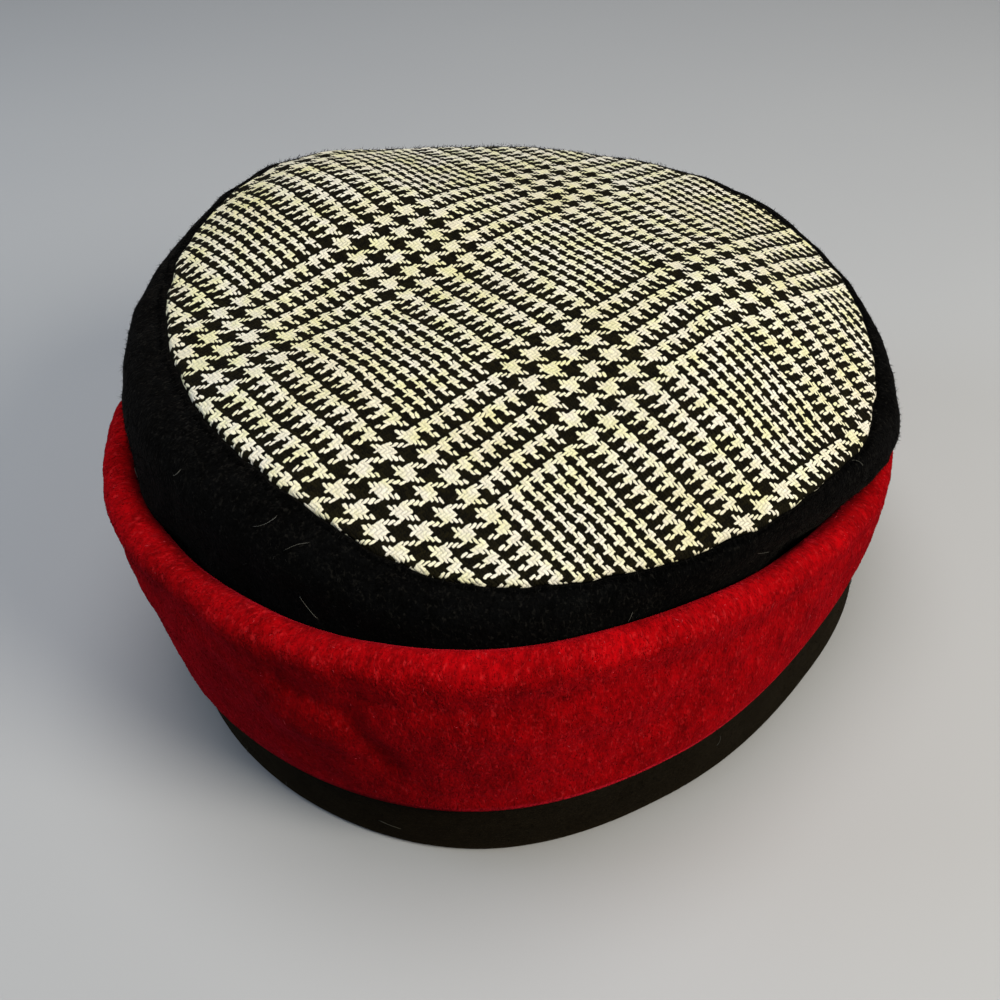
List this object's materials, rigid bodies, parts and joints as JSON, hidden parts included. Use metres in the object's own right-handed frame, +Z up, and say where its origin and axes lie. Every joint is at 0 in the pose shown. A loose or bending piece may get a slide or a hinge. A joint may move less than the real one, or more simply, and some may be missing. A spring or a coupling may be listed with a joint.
{
  "type": "pillbox hat",
  "caption": "Soft pillbox hat: checked cloth crown tip, bulging fleece side wall, turned-up fleece cuff and a hem band round an open head hollow.",
  "frame": {"origin": "on the surface the hat stands on, under the middle of the hat's box", "axes": "+Z up out of the crown, Y along the long way of the oval head opening, X across it"},
  "size_m": [0.2008, 0.2332, 0.1135],
  "materials": {
    "check_cloth": "woven wool, black and cream glen plaid",
    "black_fleece": "matte felted fleece",
    "red_fleece": "soft pile fleece, brushed at the rolled edge",
    "black_hem": "matte cloth, smoother than the side wall"
  },
  "bodies": {
    "root": {"crown_tip": "check_cloth", "crown_side": "black_fleece", "cuff": "red_fleece", "hem_band": "black_hem"}
  },
  "joints": []
}
